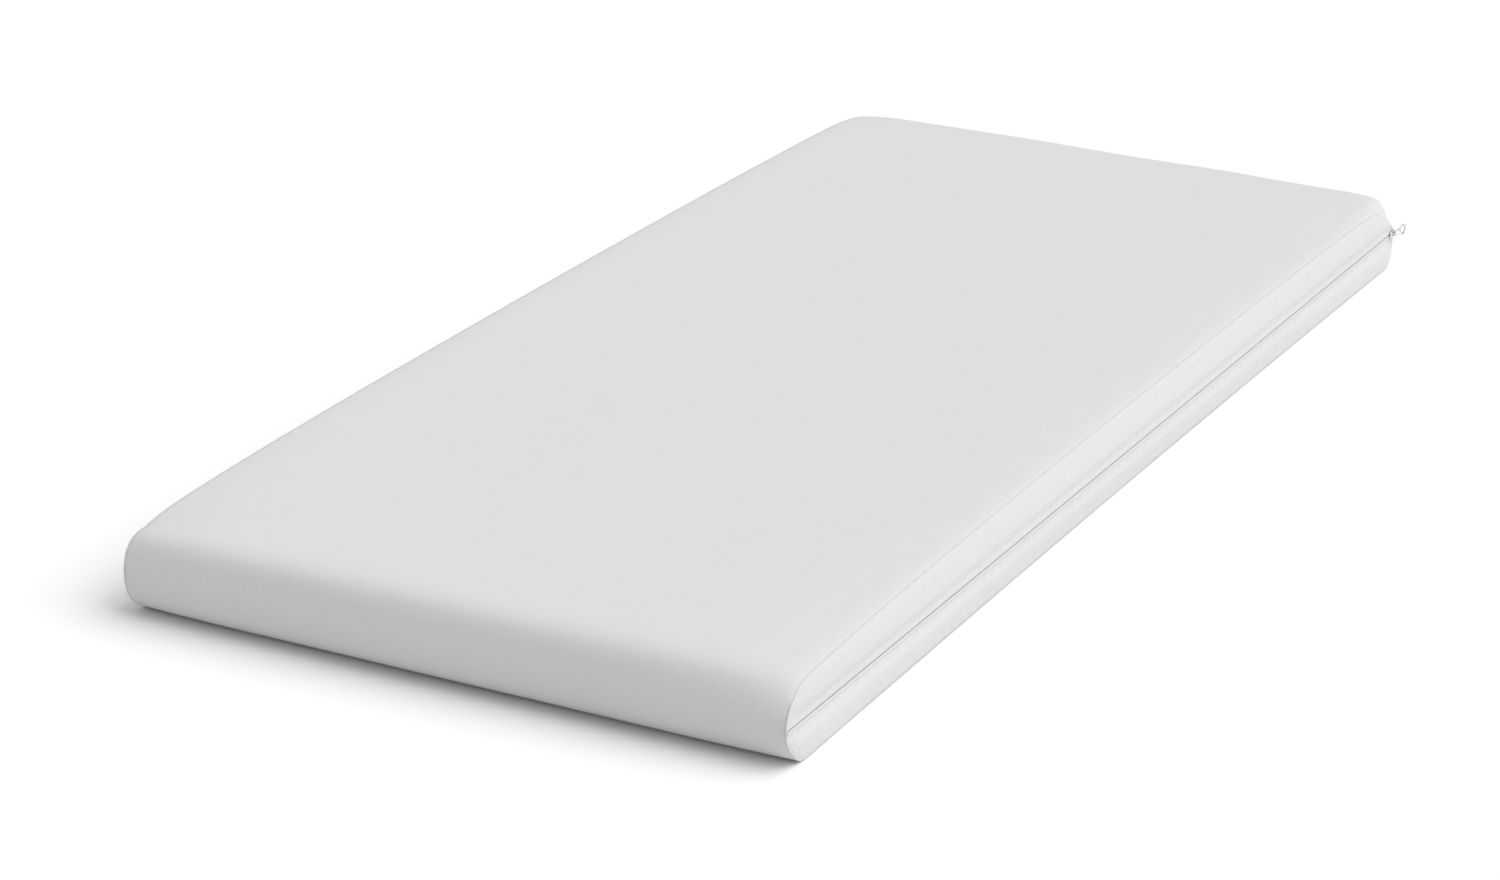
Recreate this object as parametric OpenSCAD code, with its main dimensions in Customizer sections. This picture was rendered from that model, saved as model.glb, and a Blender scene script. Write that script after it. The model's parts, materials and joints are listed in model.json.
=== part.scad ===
// Memory foam mattress with a removable woven cover.
// Frame: millimetres, X across the width, Y along the length, +Z up.
// The origin is the middle of the underside, where the mattress rests.
// The zip runs along the +X long side and is closed at its +Y end.

/* [Mattress] */
// Length along Y
mattress_l = 1600; // [1200:10:2000]
// Width along X, between the faces of the side panels
mattress_w = 700; // [500:10:1200]
// Height from the underside to the sleeping surface
mattress_t = 90; // [75:1:160]
// Radius of the rounded top and bottom edges of the two ends
end_r = 38; // [15:1:60]

/* [Cover] */
// Thickness of the woven fabric that wraps the top, the ends and the underside
cover_t = 1.2; // [0.8:0.1:2]
// Thickness of the side panels
panel_t = 1.2; // [0.8:0.1:2]
// Width of the sewn ridge that joins the wrap to a side panel
seam_w = 3; // [2:0.5:5]
// Height of the sewn ridge above the side panel
seam_h = 1; // [0.5:0.1:1.5]
// Thickness of the knitted liner around the foam
liner_t = 0.6; // [0.4:0.1:1]

/* [Foam] */
// Thickness of the memory foam layer on top
comfort_t = 30; // [20:1:50]
// Room between the liner and a side panel, which the zip needs
zip_room = 7; // [6.5:0.5:12]
// Gap between layers of fabric and foam that lie against each other
layer_gap = 0.2; // [0.1:0.05:0.5]

/* [Zip] */
// Height of the zip's middle above the underside
zip_h = 42; // [38:1:50]
// Gap between the two lips of the zipped side panel
lip_gap = 3; // [2.5:0.25:4]
// Width of each half of the zip tape
tape_w = 13; // [8:1:18]
// Thickness of the zip tape
tape_t = 0.6; // [0.4:0.1:0.9]
// Height of each row of closed coil
coil_h = 2.4; // [1.8:0.2:3]
// Depth of the coil behind the tape
coil_d = 2.2; // [1.6:0.1:2.6]
// Gap between the two rows, where the slider's post runs
coil_gap = 1.8; // [1.6:0.1:2.2]
// Length along the zip of the thread bars that close its ends
tack_l = 2; // [1:0.5:3]

/* [Slider] */
// Length of the slider along the zip
slider_l = 16; // [12:1:20]
// Height of the slider
slider_h = 9.4; // [8.8:0.2:12]
// Thickness of the slider's front and back plates
plate_t = 1.4; // [1:0.1:2]
// Thickness of the post between the slider's two plates
post_t = 1.2; // [0.9:0.1:1.4]
// Gap between the closed slider and the thread bar at the end of the zip
park_gap = 0.5; // [0.3:0.1:20]
// Gap between the slider and what it slides along
slide_gap = 0.3; // [0.2:0.05:0.5]

/* [Pull] */
// Length of the pull from its pin to its tip
pull_l = 28.5; // [22:0.5:40]
// Width of the ring at the pull's tip
ring_w = 12.8; // [11:0.2:16]
// Length of the hole in the ring
hole_l = 11; // [9:0.5:12]
// Width of the hole in the ring
hole_w = 7.9; // [6:0.1:9]
// Thickness of the pull
pull_t = 1.4; // [1:0.1:1.8]
// Width of the pull at its pin
yoke_w = 5.4; // [5:0.2:7]
// Radius of the pull's pin
pin_r = 0.6; // [0.4:0.05:0.65]
// Radial clearance of the pin in the slider's eye
pin_gap = 0.05; // [0.02:0.01:0.1]
// Angle that the pull stands away from the side panel
pull_tilt = 8; // [0:1:20]

/* [Hidden] */
$fn = 64;
cut = 1;                                  // how far a cut runs past a face

// Heights, and half sizes of each layer from the outside inwards
edge_r = min(end_r, mattress_t / 2 - 1);
half_w = mattress_w / 2;
half_l = mattress_l / 2;
panel_in = half_w - panel_t;              // inner face of a side panel
liner_in = cover_t + layer_gap;           // depth of the liner below the surface
foam_in = liner_in + liner_t + layer_gap; // depth of the foam below the surface
liner_x = panel_in - zip_room;            // outer face of the liner at a long side
foam_x = liner_x - liner_t - layer_gap;
foam_split_z = mattress_t - foam_in - comfort_t;

// Depths of the zip behind the right side panel
tape_x = panel_in - layer_gap;            // front face of the tape
coil_x = tape_x - tape_t;                 // front face of the coil
zip_half_l = half_l - liner_in;           // the tape ends inside the wrap
chain_h = coil_gap + 2 * coil_h;          // both rows of coil and the gap
tack_h = chain_h + 6;                     // a thread bar reaches onto both tapes

// Slider, measured outwards along X from the side panel
plate_x = half_w + seam_h + slide_gap;    // underside of the front plate
plate_top = plate_x + plate_t;
back_x = coil_x - coil_d - slide_gap;     // front face of the back plate
back_l = slider_l - 3;                    // the back plate is shorter than the front
cheek_t = 1.3;                            // wall above and below the chain
cheek_l = back_l - 2;
post_l = 6;
front_r = 3;                              // corner radius of the front plate
back_r = 1;                               // corner radius of the back plate
slider_y = zip_half_l - tack_l - park_gap - cheek_l / 2;

// Pull and the eye that holds it
pivot_y = slider_y + 3;                   // the eye is nearer the plate's +Y end
eye_r = 1.7;
eye_t = 2.2;
eye_gap = 0.2;                            // side play between the eye and the yoke
pivot_x = plate_top + pull_t / 2 + slide_gap;
yoke_slot = eye_r + 0.8;                  // the slot clears the eye as the pull turns
yoke_l = yoke_slot + 2;
shoulder_w = 0.77 * ring_w;               // width where the ring starts
ring_rim = (ring_w - hole_w) / 2;
ring_y = pull_l - ring_rim - hole_l / 2;  // middle of the hole, from the pin

fabric_white = [0.87, 0.875, 0.87];
foam_cream = [0.94, 0.92, 0.86];
foam_white = [0.96, 0.96, 0.95];
tape_white = [0.90, 0.90, 0.90];
metal_grey = [0.78, 0.79, 0.80];

// Side view of the mattress, drawn with Y across and Z up, inset by a depth
module end_outline(inset) {
    r = edge_r - inset;
    y = half_l - edge_r;
    for (side = [-1, 1]) {
        translate([side * y, edge_r]) circle(r);
        translate([side * y, mattress_t - edge_r]) circle(r);
    }
    translate([-y, inset])
        square([2 * y, mattress_t - 2 * inset]);
    translate([-half_l + inset, edge_r])
        square([mattress_l - 2 * inset, mattress_t - 2 * edge_r]);
}

// The side view as a block that runs along X
module end_block(inset, x_from, x_to) {
    translate([x_from, 0, 0])
        rotate([90, 0, 90])
            linear_extrude(height = x_to - x_from)
                end_outline(inset);
}

// Everything between two heights
module slab(z_from, z_to) {
    translate([-mattress_w, -mattress_l, z_from])
        cube([2 * mattress_w, 2 * mattress_l, z_to - z_from]);
}

// Plate in the YZ plane with rounded corners, centred on y and the zip
module round_plate(x_from, x_to, y, l, h, r) {
    translate([x_from, y, zip_h])
        rotate([90, 0, 90])
            linear_extrude(height = x_to - x_from)
                union() {
                    square([l - 2 * r, h], center = true);
                    square([l, h - 2 * r], center = true);
                    for (sy = [-1, 1], sz = [-1, 1])
                        translate([sy * (l / 2 - r), sz * (h / 2 - r)])
                            circle(r);
                }
}

module foam_base() {
    color(foam_white)
        intersection() {
            end_block(foam_in, -foam_x, foam_x);
            slab(0, foam_split_z);
        }
}

module foam_comfort() {
    color(foam_cream)
        intersection() {
            end_block(foam_in, -foam_x, foam_x);
            slab(foam_split_z, mattress_t);
        }
}

// A bag that is closed at the left side and open at the zipped side
module inner_liner() {
    color(foam_white)
        difference() {
            end_block(liner_in, -liner_x, liner_x);
            end_block(foam_in - layer_gap, -liner_x + liner_t, liner_x + cut);
        }
}

// One length of fabric: over the top, round both ends and under the mattress
module cover_wrap() {
    color(fabric_white)
        difference() {
            end_block(0, -panel_in, panel_in);
            end_block(cover_t, -panel_in - cut, panel_in + cut);
        }
}

module side_panel_left() {
    color(fabric_white)
        end_block(0, -half_w, -panel_in);
}

module side_panel_right_upper() {
    color(fabric_white)
        intersection() {
            end_block(0, panel_in, half_w);
            slab(zip_h + lip_gap / 2, mattress_t);
        }
}

module side_panel_right_lower() {
    color(fabric_white)
        intersection() {
            end_block(0, panel_in, half_w);
            slab(0, zip_h - lip_gap / 2);
        }
}

// The seam allowance stands up as a ridge all round the side panel
module seam_ridge(x_from, x_to) {
    color(fabric_white)
        difference() {
            end_block(0, x_from, x_to);
            end_block(seam_w, x_from - cut, x_to + cut);
        }
}

module seam_ridge_left() {
    seam_ridge(-half_w - seam_h, -half_w);
}

module seam_ridge_right() {
    seam_ridge(half_w, half_w + seam_h);
}

// One half of the tape, trimmed to the round ends of the wrap.
// side is 1 above the zip's middle and -1 below it
module zip_tape(side) {
    z = side > 0 ? coil_gap / 2 : -coil_gap / 2 - tape_w;
    color(tape_white)
        intersection() {
            translate([coil_x, -zip_half_l, zip_h + z])
                cube([tape_t, 2 * zip_half_l, tape_w]);
            end_block(liner_in, coil_x - cut, tape_x + cut);
        }
}

module zip_tape_upper() {
    zip_tape(1);
}

module zip_tape_lower() {
    zip_tape(-1);
}

// One row of coil, as the bar that its turns fill. It ends at the thread bars
module zip_coil(side) {
    l = 2 * (zip_half_l - tack_l);
    z = side > 0 ? coil_gap / 2 : -coil_gap / 2 - coil_h;
    color(tape_white)
        translate([coil_x - coil_d, -l / 2, zip_h + z])
            cube([coil_d, l, coil_h]);
}

module zip_coil_upper() {
    zip_coil(1);
}

module zip_coil_lower() {
    zip_coil(-1);
}

// Thread bar behind the tape, across both rows, which closes one end of the zip
module zip_tack(side) {
    y = side > 0 ? zip_half_l - tack_l : -zip_half_l;
    color(tape_white)
        intersection() {
            translate([coil_x - coil_d, y, zip_h - tack_h / 2])
                cube([coil_d, tack_l, tack_h]);
            end_block(liner_in, coil_x - coil_d - cut, coil_x + cut);
        }
}

module zip_tack_front() {
    zip_tack(-1);
}

module zip_tack_rear() {
    zip_tack(1);
}

// Front plate, post between the coils, back plate with two cheeks, and the eye
module zip_slider() {
    channel_h = chain_h + 2 * slide_gap;
    color(metal_grey)
        union() {
            round_plate(plate_x, plate_top, slider_y, slider_l, slider_h, front_r);
            round_plate(back_x - plate_t, back_x, slider_y, back_l,
                        channel_h + 2 * cheek_t, back_r);
            translate([back_x, slider_y - post_l / 2, zip_h - post_t / 2])
                cube([plate_x - back_x, post_l, post_t]);
            for (side = [-1, 1]) {
                z = side * (channel_h + cheek_t) / 2;
                translate([back_x, slider_y - cheek_l / 2, zip_h + z - cheek_t / 2])
                    cube([coil_x - slide_gap - back_x, cheek_l, cheek_t]);
            }
            slider_eye();
        }
}

// The eye stands on the front plate, and the pull's pin turns in it
module slider_eye() {
    difference() {
        union() {
            translate([pivot_x, pivot_y, zip_h - eye_t / 2])
                cylinder(r = eye_r, h = eye_t);
            translate([plate_x, pivot_y - eye_r, zip_h - eye_t / 2])
                cube([pivot_x - plate_x, 2 * eye_r, eye_t]);
        }
        translate([pivot_x, pivot_y, zip_h - eye_t / 2 - cut])
            cylinder(r = pin_r + pin_gap, h = eye_t + 2 * cut);
    }
}

// Side view of the pull, drawn with its length across and its width up
module pull_outline() {
    yoke_half = yoke_w / 2;
    slot_half = eye_t / 2 + eye_gap;
    difference() {
        union() {
            translate([0, -yoke_half]) square([yoke_l, yoke_w]);
            polygon([[yoke_slot, -yoke_half], [ring_y - hole_l / 2, -shoulder_w / 2],
                     [ring_y - hole_l / 2, shoulder_w / 2], [yoke_slot, yoke_half]]);
            slot_shape(hole_l + 2 * ring_rim, ring_w);
        }
        slot_shape(hole_l, hole_w);
        translate([-cut, -slot_half]) square([yoke_slot + cut, 2 * slot_half]);
    }
}

// A hole with round ends, around the middle of the ring
module slot_shape(l, w) {
    for (side = [-1, 1])
        translate([ring_y + side * (l - w) / 2, 0]) circle(w / 2);
    translate([ring_y - (l - w) / 2, -w / 2]) square([l - w, w]);
}

// Flat pull with a ring at its tip. Its pin turns in the slider's eye
module zip_pull() {
    slot_h = eye_t + 2 * eye_gap;
    arm_h = (yoke_w - slot_h) / 2;            // height of each arm of the yoke
    color(metal_grey)
        translate([pivot_x, pivot_y, zip_h])
            rotate([0, 0, -pull_tilt])
                union() {
                    translate([-pull_t / 2, 0, 0])
                        rotate([90, 0, 90])
                            linear_extrude(height = pull_t)
                                pull_outline();
                    for (z = [-yoke_w / 2, slot_h / 2])
                        translate([0, 0, z])
                            cylinder(r = pull_t / 2, h = arm_h);
                    translate([0, 0, -slot_h / 2])
                        cylinder(r = pin_r, h = slot_h);
                }
}

foam_base();
foam_comfort();
inner_liner();
cover_wrap();
side_panel_left();
side_panel_right_upper();
side_panel_right_lower();
seam_ridge_left();
seam_ridge_right();
zip_tape_upper();
zip_tape_lower();
zip_coil_upper();
zip_coil_lower();
zip_tack_front();
zip_tack_rear();
zip_slider();
zip_pull();
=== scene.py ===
# %% [markdown]
# # A memory foam mattress in a zipped cover
# The mattress is a thin slab of foam with rounded ends, in a removable woven
# cover. One length of cloth goes over the top, round both ends and under the
# foam. Two side panels close it, and the right one is split by a zip.
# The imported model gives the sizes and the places, and everything here is built
# around it, in metres: X across the width, Y along the length, Z up.

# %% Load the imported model
import json
import math

import bmesh
import bpy
import numpy as np
from mathutils import Matrix, Vector


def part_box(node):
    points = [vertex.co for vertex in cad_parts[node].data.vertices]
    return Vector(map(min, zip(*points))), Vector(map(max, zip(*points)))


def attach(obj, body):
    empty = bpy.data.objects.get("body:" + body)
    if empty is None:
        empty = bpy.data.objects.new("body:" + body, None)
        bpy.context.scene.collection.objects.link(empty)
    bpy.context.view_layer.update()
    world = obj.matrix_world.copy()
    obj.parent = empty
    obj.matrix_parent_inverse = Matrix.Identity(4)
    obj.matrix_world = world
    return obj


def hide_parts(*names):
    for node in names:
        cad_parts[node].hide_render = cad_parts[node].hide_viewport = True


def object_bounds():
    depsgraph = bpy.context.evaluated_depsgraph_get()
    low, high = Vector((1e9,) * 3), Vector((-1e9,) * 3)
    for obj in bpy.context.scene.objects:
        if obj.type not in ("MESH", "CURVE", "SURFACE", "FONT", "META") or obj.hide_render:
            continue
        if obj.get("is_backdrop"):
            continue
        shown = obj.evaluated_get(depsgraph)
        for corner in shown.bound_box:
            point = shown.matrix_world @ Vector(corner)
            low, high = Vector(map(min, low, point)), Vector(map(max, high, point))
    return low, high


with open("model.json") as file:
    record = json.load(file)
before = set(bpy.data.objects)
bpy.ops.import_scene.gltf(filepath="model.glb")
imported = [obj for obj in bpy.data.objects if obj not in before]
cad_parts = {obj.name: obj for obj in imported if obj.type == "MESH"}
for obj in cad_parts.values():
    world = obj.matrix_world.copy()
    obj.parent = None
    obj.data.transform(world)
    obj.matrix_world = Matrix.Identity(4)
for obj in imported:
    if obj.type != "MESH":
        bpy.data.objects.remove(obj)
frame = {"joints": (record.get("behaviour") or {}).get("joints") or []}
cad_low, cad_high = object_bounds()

print("CAD box", [round(v, 4) for v in (*cad_low, *cad_high)])

# %% [markdown]
# ## Sizes from the model
# Every piece takes its place from the boxes of the CAD nodes, so nothing has to
# be fitted by eye. MM turns a size in millimetres into metres.

# %% Read the sizes
MM = 0.001
wrap_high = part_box("cover_wrap")[1]
strip_low, strip_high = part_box("side_panel_right_upper")

HALF_W = strip_high.x              # outer face of the right side panel
WRAP_X = wrap_high.x               # where the wrap ends and the panel begins
HALF_L = wrap_high.y
THICK = wrap_high.z
ZIP_Z = (strip_low.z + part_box("side_panel_right_lower")[1].z) / 2
SPLIT_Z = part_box("foam_comfort")[0].z    # where the two foams are glued together
CLOTH = HALF_W - WRAP_X            # thickness of the cover's cloth
print(f"mattress {2 * HALF_W:.3f} x {2 * HALF_L:.3f} x {THICK:.3f} m, zip at {ZIP_Z:.3f} m")

# %% [markdown]
# ## The shape of a stuffed cover
# A cover that is pulled over foam isn't a box. Its ends are rounded, its top
# sinks a little towards the ends and most of all at the corners, and its long
# sides bow by a few millimetres. All this could be sculpted by hand, but a rule
# for each is easier to read and to change, and every other piece can use it.

# %% Name the rules of the shape
# In these rules -1 is the front or the left and 1 is the rear or the right.
# A pair is a corner: first its side, then its end.
NOSE = {-1: 37.5 * MM, 1: 30 * MM}    # how deep the two ends are rounded
NOSE_UPPER = {-1: 3.5, 1: 3.1}        # upper half of an end: 2 is an ellipse, more is squarer
NOSE_LOWER = {-1: 1.9, 1: 4.5}        # the same for the lower half
SOFTER = {(-1, -1): 1.0, (1, -1): 1.4, (-1, 1): 0.5, (1, 1): 2.0}    # less square at the seams
SOFTER_REACH = {(-1, -1): 30 * MM, (1, -1): 110 * MM, (-1, 1): 14 * MM, (1, 1): 14 * MM}
CROWN = 2.5 * MM                      # rise of the top in the middle of its length
SINK = {-1: 6.8 * MM, 1: 3 * MM}      # drop of the top at the two ends
SINK_ALONG = 125 * MM                 # how fast the drop fades along the length
SINK_ACROSS = 44 * MM                 # how fast it fades from the sides to the middle
MIDDLE_SHARE = 0.1                    # share of it that is left in the middle
CORNER_SINK = {(-1, -1): 5 * MM, (1, -1): 0, (-1, 1): 4.5 * MM, (1, 1): 18 * MM}
CORNER_REACH = 22 * MM
FOLD_AT = 7 * MM                      # the rear right corner folds down this far in,
FOLD_SOFT = 1.4 * MM                  # and the fold is about this round
SHOULDER = {-1: 0.8 * MM, 1: 5 * MM}  # the top rolls over beside the long seams
SHOULDER_REACH = {-1: 5 * MM, 1: 9 * MM}
CORNER_PULL = 3.8 * MM                # the ends draw back near the side seams
PULL_REACH = 40 * MM
ZIP_KEEPS = 0.5                       # they draw back less near the zip: share of a half height
BEND = 4.8 * MM                       # the long sides bow this far to the left


def top_height(x, y):
    """Height of the top surface."""
    front = np.maximum(y + HALF_L - NOSE[-1], 0)
    rear = np.maximum(HALF_L - NOSE[1] - y, 0)
    edge = HALF_W - np.abs(x)
    sink = SINK[-1] * np.exp(-front / SINK_ALONG) + SINK[1] * np.exp(-rear / SINK_ALONG)
    sink = sink * (MIDDLE_SHARE + (1 - MIDDLE_SHARE) * np.exp(-edge / SINK_ACROSS))
    for (side, end), depth in CORNER_SINK.items():
        across = np.exp(-(HALF_W - side * x) / CORNER_REACH)
        if (side, end) == (1, 1):
            across = 1 / (1 + np.exp((HALF_W - x - FOLD_AT) / FOLD_SOFT))
        sink = sink + depth * across * np.exp(-(front if end < 0 else rear) / CORNER_REACH)
    for side, depth in SHOULDER.items():
        sink = sink + depth * np.exp(-(HALF_W - side * x) / SHOULDER_REACH[side])
    return THICK + CROWN * (1 - (y / HALF_L) ** 2) - sink


def bow(y):
    """How far the long sides bow to the left."""
    return -BEND * (1 - (y / HALF_L) ** 2)


def squareness(x, end):
    """How square the upper half of an end is, which is less beside the seams."""
    power = NOSE_UPPER[end]
    for side in (-1, 1):
        power = power - SOFTER[side, end] * np.exp(-(HALF_W - side * x) / SOFTER_REACH[side, end])
    return power


# %% [markdown]
# A station is a place along the wrap's loop, as a tailor's tape would give it:
# 0 to 1 is the underside from front to rear, 1 to 2 goes up round the rear end,
# 2 to 3 is the top from rear to front, and 3 to 4 goes down round the front end.
# The zip ends in the middle of the right end seams, so the cover stays at its
# full length there.

# %% Turn a station into a point
def skin(x, station):
    """Outer surface of the cover before it swells. Returns y and z."""
    x, station = np.broadcast_arrays(np.asarray(x, float), np.asarray(station, float))
    share = station % 1
    turn = np.radians(np.where(station < 2, 180 * share - 90, 90 - 180 * share))
    end = np.where(station < 2, 1, -1)
    upper = np.where(end > 0, squareness(x, 1), squareness(x, -1))
    power = np.where(turn > 0, upper, np.where(end > 0, NOSE_LOWER[1], NOSE_LOWER[-1]))
    out, rise = np.abs(np.cos(turn)), np.abs(np.sin(turn))
    scale = (out ** power + rise ** power) ** (-1 / power)
    out, rise = out * scale, rise * scale

    pull = CORNER_PULL * np.exp(-(HALF_W - np.abs(x)) / PULL_REACH)
    pull_here = np.where(x > 0, pull * (1 - np.exp(-(rise / ZIP_KEEPS) ** 2)), pull)
    stop = {end: end * (HALF_L - pull - NOSE[end]) for end in (-1, 1)}
    forth = np.where(station < 1, share, 1 - share)
    y_run = stop[-1] + (stop[1] - stop[-1]) * forth
    z_run = np.where(station < 1, 0, top_height(x, y_run))

    y_rear = HALF_L - pull_here - NOSE[1] + NOSE[1] * out
    y_front = -(HALF_L - pull_here - NOSE[-1]) - NOSE[-1] * out
    y_nose = np.where(station < 2, y_rear, y_front)
    z_end = np.where(station < 2, top_height(x, stop[1]), top_height(x, stop[-1]))
    z_nose = ZIP_Z + np.where(turn > 0, z_end - ZIP_Z, -ZIP_Z) * rise

    flat = (station < 1) | ((station >= 2) & (station < 3))
    return np.where(flat, y_run, y_nose), np.where(flat, z_run, z_nose)


def loop_stations(under, nose, over):
    """Stations round the loop, with this many steps below, round each end and on top."""
    runs = ((0, under), (1, nose), (2, over), (3, nose))
    return np.concatenate([np.arange(n) / n + start for start, n in runs])


def outward(y, z):
    """Unit normals of closed loops in the YZ plane. The last axis runs along the loop."""
    dy = np.roll(y, -1, -1) - np.roll(y, 1, -1)
    dz = np.roll(z, -1, -1) - np.roll(z, 1, -1)
    size = np.maximum(np.hypot(dy, dz), 1e-9)
    return dz / size, -dy / size


# %% [markdown]
# The side panels need the same outline the other way round: at a place along
# the length, how low and how high is the edge that they are sewn to? It is read
# from a closely spaced loop, so the panels and the wrap always meet.

# %% Outline of a side
AT_NOSE = 120             # places read round half of an end
AT_EDGE = 400             # places read along a long edge
NEARLY_3 = 2.9999         # the top's front end, as 3 itself already belongs to the nose


def side_outline(side):
    """Y and Z of the lower and the upper edge of a side, each from front to rear."""
    below = np.concatenate([np.linspace(3.5, 4, AT_NOSE, endpoint=False),
                            np.linspace(0, 1, AT_EDGE),
                            np.linspace(1, 1.5, AT_NOSE)[1:]])
    above = np.concatenate([np.linspace(3.5, 3, AT_NOSE, endpoint=False),
                            np.linspace(NEARLY_3, 2, AT_EDGE),
                            np.linspace(2, 1.5, AT_NOSE)[1:]])
    return skin(side * WRAP_X, below), skin(side * WRAP_X, above)


OUTLINE = {side: side_outline(side) for side in (-1, 1)}


def edge_heights(side, y):
    """Height of the lower and of the upper seam of a side at y."""
    heights = []
    for y_edge, z_edge in OUTLINE[side]:
        order = np.argsort(y_edge)
        heights.append(np.interp(y, y_edge[order], z_edge[order]))
    return heights


def side_columns(side, run, nose):
    """Places along a side, close together where the ends are round."""
    y_low = OUTLINE[side][0][0]
    angles = np.radians(np.linspace(2.5, 88, nose))
    front = y_low.min() + NOSE[-1] * (1 - np.sin(angles[::-1]))
    rear = y_low.max() - NOSE[1] * (1 - np.sin(angles))
    middle = np.linspace(front[-1], rear[0], run + 2)[1:-1]
    return np.concatenate([front, middle, rear])


print("edge heights in the middle", [round(float(v), 4) for v in edge_heights(1, 0.0)])

# %% [markdown]
# ## Small unevenness
# Cloth on foam is never flat. Long, low waves show that the foam is soft, and
# short puckers along a seam show where two edges were sewn together. A few sine
# waves with fixed random phases give both, and the same ones on every run.

# %% Make the waves
chance = np.random.default_rng(11)


def wave_set(count, shortest, longest):
    """Directions, lengths and phases of a few waves."""
    angle = chance.uniform(0, math.pi, count)
    length = chance.uniform(shortest, longest, count)
    return np.cos(angle) / length, np.sin(angle) / length, chance.uniform(0, 2 * math.pi, count)


def waves(kit, u, v=0.0):
    """Sum of the waves at (u, v), mostly from -1 to 1."""
    total = sum(np.sin(2 * math.pi * (a * u + b * v) + p) for a, b, p in zip(*kit))
    return total / math.sqrt(len(kit[0]))


def seam_waves(count, shortest, longest):
    """Waves that run straight along a seam."""
    _, _, phase = wave_set(count, shortest, longest)
    length = chance.uniform(shortest, longest, count)
    return 1 / length, 0 * length, phase


SLOW = wave_set(7, 170 * MM, 420 * MM)
FINE = wave_set(9, 28 * MM, 75 * MM)
PUCKER = {name: seam_waves(6, 10 * MM, 24 * MM) for name in ("left", "right", "upper", "lower")}
print("wave sets ready:", 2 + len(PUCKER))

# %% [markdown]
# ## Pieces
# Each piece is a mesh in its own object. This helper makes it, names the body
# that it moves with and the CAD nodes it stands for.
# The map called cloth holds each point's place on the flat cloth in metres, so
# that the weave has its real size.

# %% Helpers for meshes
def make_mesh(name, points, faces, uv=None, closed=False):
    """A mesh with smooth faces. The faces of a closed one are turned outwards."""
    mesh = bpy.data.meshes.new(name)
    mesh.from_pydata(np.asarray(points).tolist(), [], faces)
    if closed:
        work = bmesh.new()
        work.from_mesh(mesh)
        bmesh.ops.recalc_face_normals(work, faces=work.faces)
        work.to_mesh(mesh)
        work.free()
    if uv is not None:
        layer = mesh.uv_layers.new(name="cloth")
        corners = np.zeros(len(mesh.loops), np.int32)
        mesh.loops.foreach_get("vertex_index", corners)
        layer.data.foreach_set("uv", np.asarray(uv, np.float32)[corners].ravel())
    mesh.shade_smooth()
    return mesh


def make_piece(name, mesh, body, finish, *stands_for):
    """An object that rides on a body of the model. Its finish argument is not used."""
    piece = bpy.data.objects.new(name, mesh)
    bpy.context.scene.collection.objects.link(piece)
    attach(piece, body)
    if stands_for:
        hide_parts(*stands_for)
    return piece


def grid_faces(rows, columns, close_columns=False, flip=False):
    """Quads of a grid whose points are numbered row by row."""
    faces = []
    for i in range(rows - 1):
        for j in range(columns if close_columns else columns - 1):
            a = i * columns + j
            b = i * columns + (j + 1) % columns
            c = (i + 1) * columns + (j + 1) % columns
            d = (i + 1) * columns + j
            faces.append((a, d, c, b) if flip else (a, b, c, d))
    return faces


def thicken(piece, thickness):
    """Gives a surface the thickness of its cloth, inwards."""
    solid = piece.modifiers.new("cloth thickness", "SOLIDIFY")
    solid.thickness = thickness
    solid.offset = -1
    return piece


def tube(centres, sizes, around=8, closed=False):
    """Points and faces of a tube in which each ring has its own two half-widths and two directions."""
    half_a, half_b, dir_a, dir_b = sizes
    turn = np.linspace(0, 2 * math.pi, around, endpoint=False)
    ring = (half_a[:, None, None] * np.cos(turn)[None, :, None] * dir_a[:, None, :]
            + half_b[:, None, None] * np.sin(turn)[None, :, None] * dir_b[:, None, :])
    points = (centres[:, None, :] + ring).reshape(-1, 3)
    count = len(centres)
    faces = grid_faces(count, around, close_columns=True)
    if closed:
        last = (count - 1) * around
        for j in range(around):
            faces.append((last + j, last + (j + 1) % around, (j + 1) % around, j))
    else:
        faces.append(tuple(range(around))[::-1])
        faces.append(tuple(range((count - 1) * around, count * around)))
    return points, faces


def together(parts):
    """Joins lists of points and faces into one."""
    points = []
    faces = []
    start = 0
    for part_points, part_faces in parts:
        points.append(part_points)
        faces += [tuple(i + start for i in face) for face in part_faces]
        start += len(part_points)
    return np.concatenate(points), faces


# %% [markdown]
# ## Let the foam fill the cover
# Foam pushes a sewn cover outwards, and the seams hold it in. That is a job for
# Blender's cloth: a coarse closed form of the whole cover is pinned along its
# seams, along the zip and under its base, and pressure swells what is between
# them. What is kept is how far each place moved, and the fine pieces read it.
# Simulating the fine pieces themselves would take minutes and look no
# different, because a filled mattress has no loose folds.

# %% Build the coarse form
FORM_RUN = 96
FORM_NOSE = 10
FORM_X = np.linspace(-WRAP_X, WRAP_X, 41)
SIDE_SHARES = np.arange(1, 10) / 10    # inner rows of a side, and 0.5 is the zip


def height_at(share, low, high):
    """Height of a row of a side. Half of the rows are below the zip."""
    below = low + (ZIP_Z - low) * 2 * share
    return np.where(share < 0.5, below, ZIP_Z + (high - ZIP_Z) * (2 * share - 1))


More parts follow.
